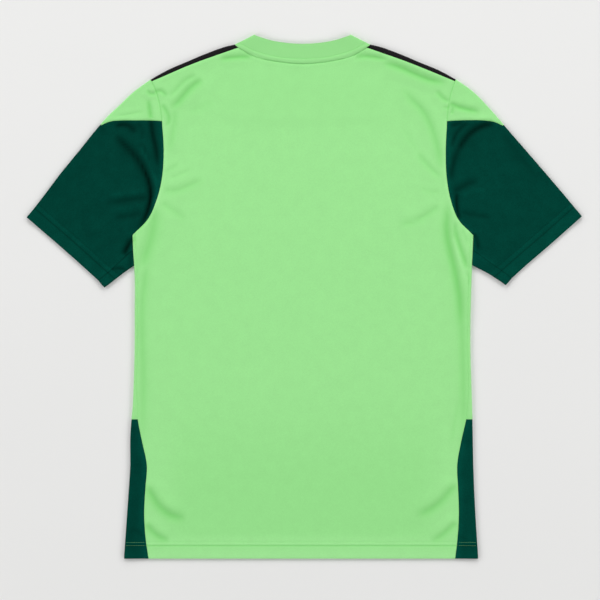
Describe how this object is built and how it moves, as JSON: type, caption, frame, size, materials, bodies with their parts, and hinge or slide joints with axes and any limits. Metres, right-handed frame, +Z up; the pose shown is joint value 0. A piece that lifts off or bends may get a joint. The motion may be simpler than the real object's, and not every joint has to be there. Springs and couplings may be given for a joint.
{
  "type": "football jersey",
  "caption": "Short-sleeved football jersey laid flat with its back up: rib collar, contrast sleeves and side gussets, black shoulder inserts.",
  "frame": {"origin": "on the surface that the jersey lies on, below the middle of its outline", "axes": "+Y from the hem to the collar, +X to the wearer's right sleeve, +Z up out of the back of the jersey"},
  "size_m": [0.7909, 0.748, 0.0061],
  "materials": {
    "body_knit": "light green polyester knit, soft satin sheen",
    "collar_rib": "light green fine rib, matt",
    "insert_knit": "black polyester knit, matt",
    "sleeve_knit": "dark green polyester knit, soft satin sheen"
  },
  "bodies": {
    "root": {"back_panel": "body_knit", "front_panel": "body_knit", "collar": "collar_rib", "shoulder_insert_left": "insert_knit", "shoulder_insert_right": "insert_knit", "sleeve_cap_left": "body_knit", "sleeve_cap_right": "body_knit", "sleeve_left": "sleeve_knit", "sleeve_right": "sleeve_knit", "side_gusset_left": "sleeve_knit", "side_gusset_right": "sleeve_knit"}
  },
  "joints": []
}
